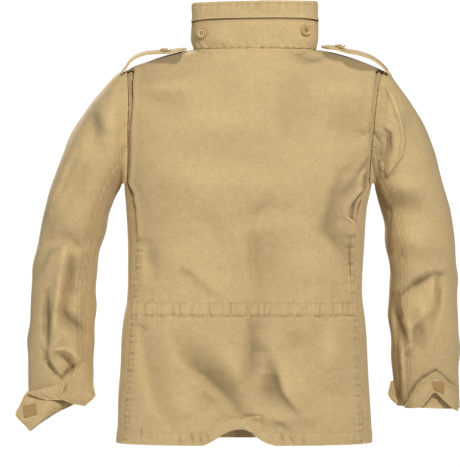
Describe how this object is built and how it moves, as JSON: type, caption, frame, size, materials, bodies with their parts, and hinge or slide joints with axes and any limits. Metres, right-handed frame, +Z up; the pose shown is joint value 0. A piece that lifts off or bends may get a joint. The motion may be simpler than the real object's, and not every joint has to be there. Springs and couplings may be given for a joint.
{
  "type": "field jacket",
  "caption": "Filled-out khaki field jacket: stand collar with a hood zip, shoulder straps, pleated back, drawcord waist and turned hand guards.",
  "frame": {"origin": "on the centre plane between the shoulders, at the height of the nape, where the wearer's shoulders hold the jacket", "axes": "+X to the wearer's right, +Y to the wearer's front, +Z up"},
  "size_m": [0.8641, 0.2576, 0.8521],
  "materials": {
    "cloth": "khaki cotton sateen",
    "zip_tape": "woven tape",
    "snap_metal": "dulled",
    "button_horn": "satin tan",
    "hook_nap": "looped nap"
  },
  "bodies": {
    "root": {"back": "cloth", "pleat_left": "cloth", "pleat_right": "cloth", "waist_casing": "cloth", "front_left": "cloth", "front_right": "cloth", "front_zip": "zip_tape", "front_fly": "cloth", "fly_snap_1": "snap_metal", "fly_snap_2": "snap_metal", "fly_snap_3": "snap_metal", "fly_snap_4": "snap_metal", "fly_snap_5": "snap_metal", "pocket_chest_left": "cloth", "flap_chest_left": "cloth", "pocket_chest_right": "cloth", "flap_chest_right": "cloth", "pocket_hip_left": "cloth", "flap_hip_left": "cloth", "pocket_hip_right": "cloth", "flap_hip_right": "cloth", "sleeve_top_left": "cloth", "sleeve_under_left": "cloth", "sleeve_top_right": "cloth", "sleeve_under_right": "cloth", "collar_inner": "cloth", "collar_stand": "cloth", "collar_upper": "cloth", "collar_zip": "zip_tape", "collar_button_left": "button_horn", "collar_button_right": "button_horn", "shoulder_strap_left": "cloth", "shoulder_strap_right": "cloth", "strap_button_left": "button_horn", "strap_button_right": "button_horn", "hand_guard_left": "cloth", "cuff_tab_left": "cloth", "hand_guard_right": "cloth", "cuff_tab_right": "cloth", "guard_patch_left": "hook_nap", "guard_patch_right": "hook_nap"}
  },
  "joints": []
}
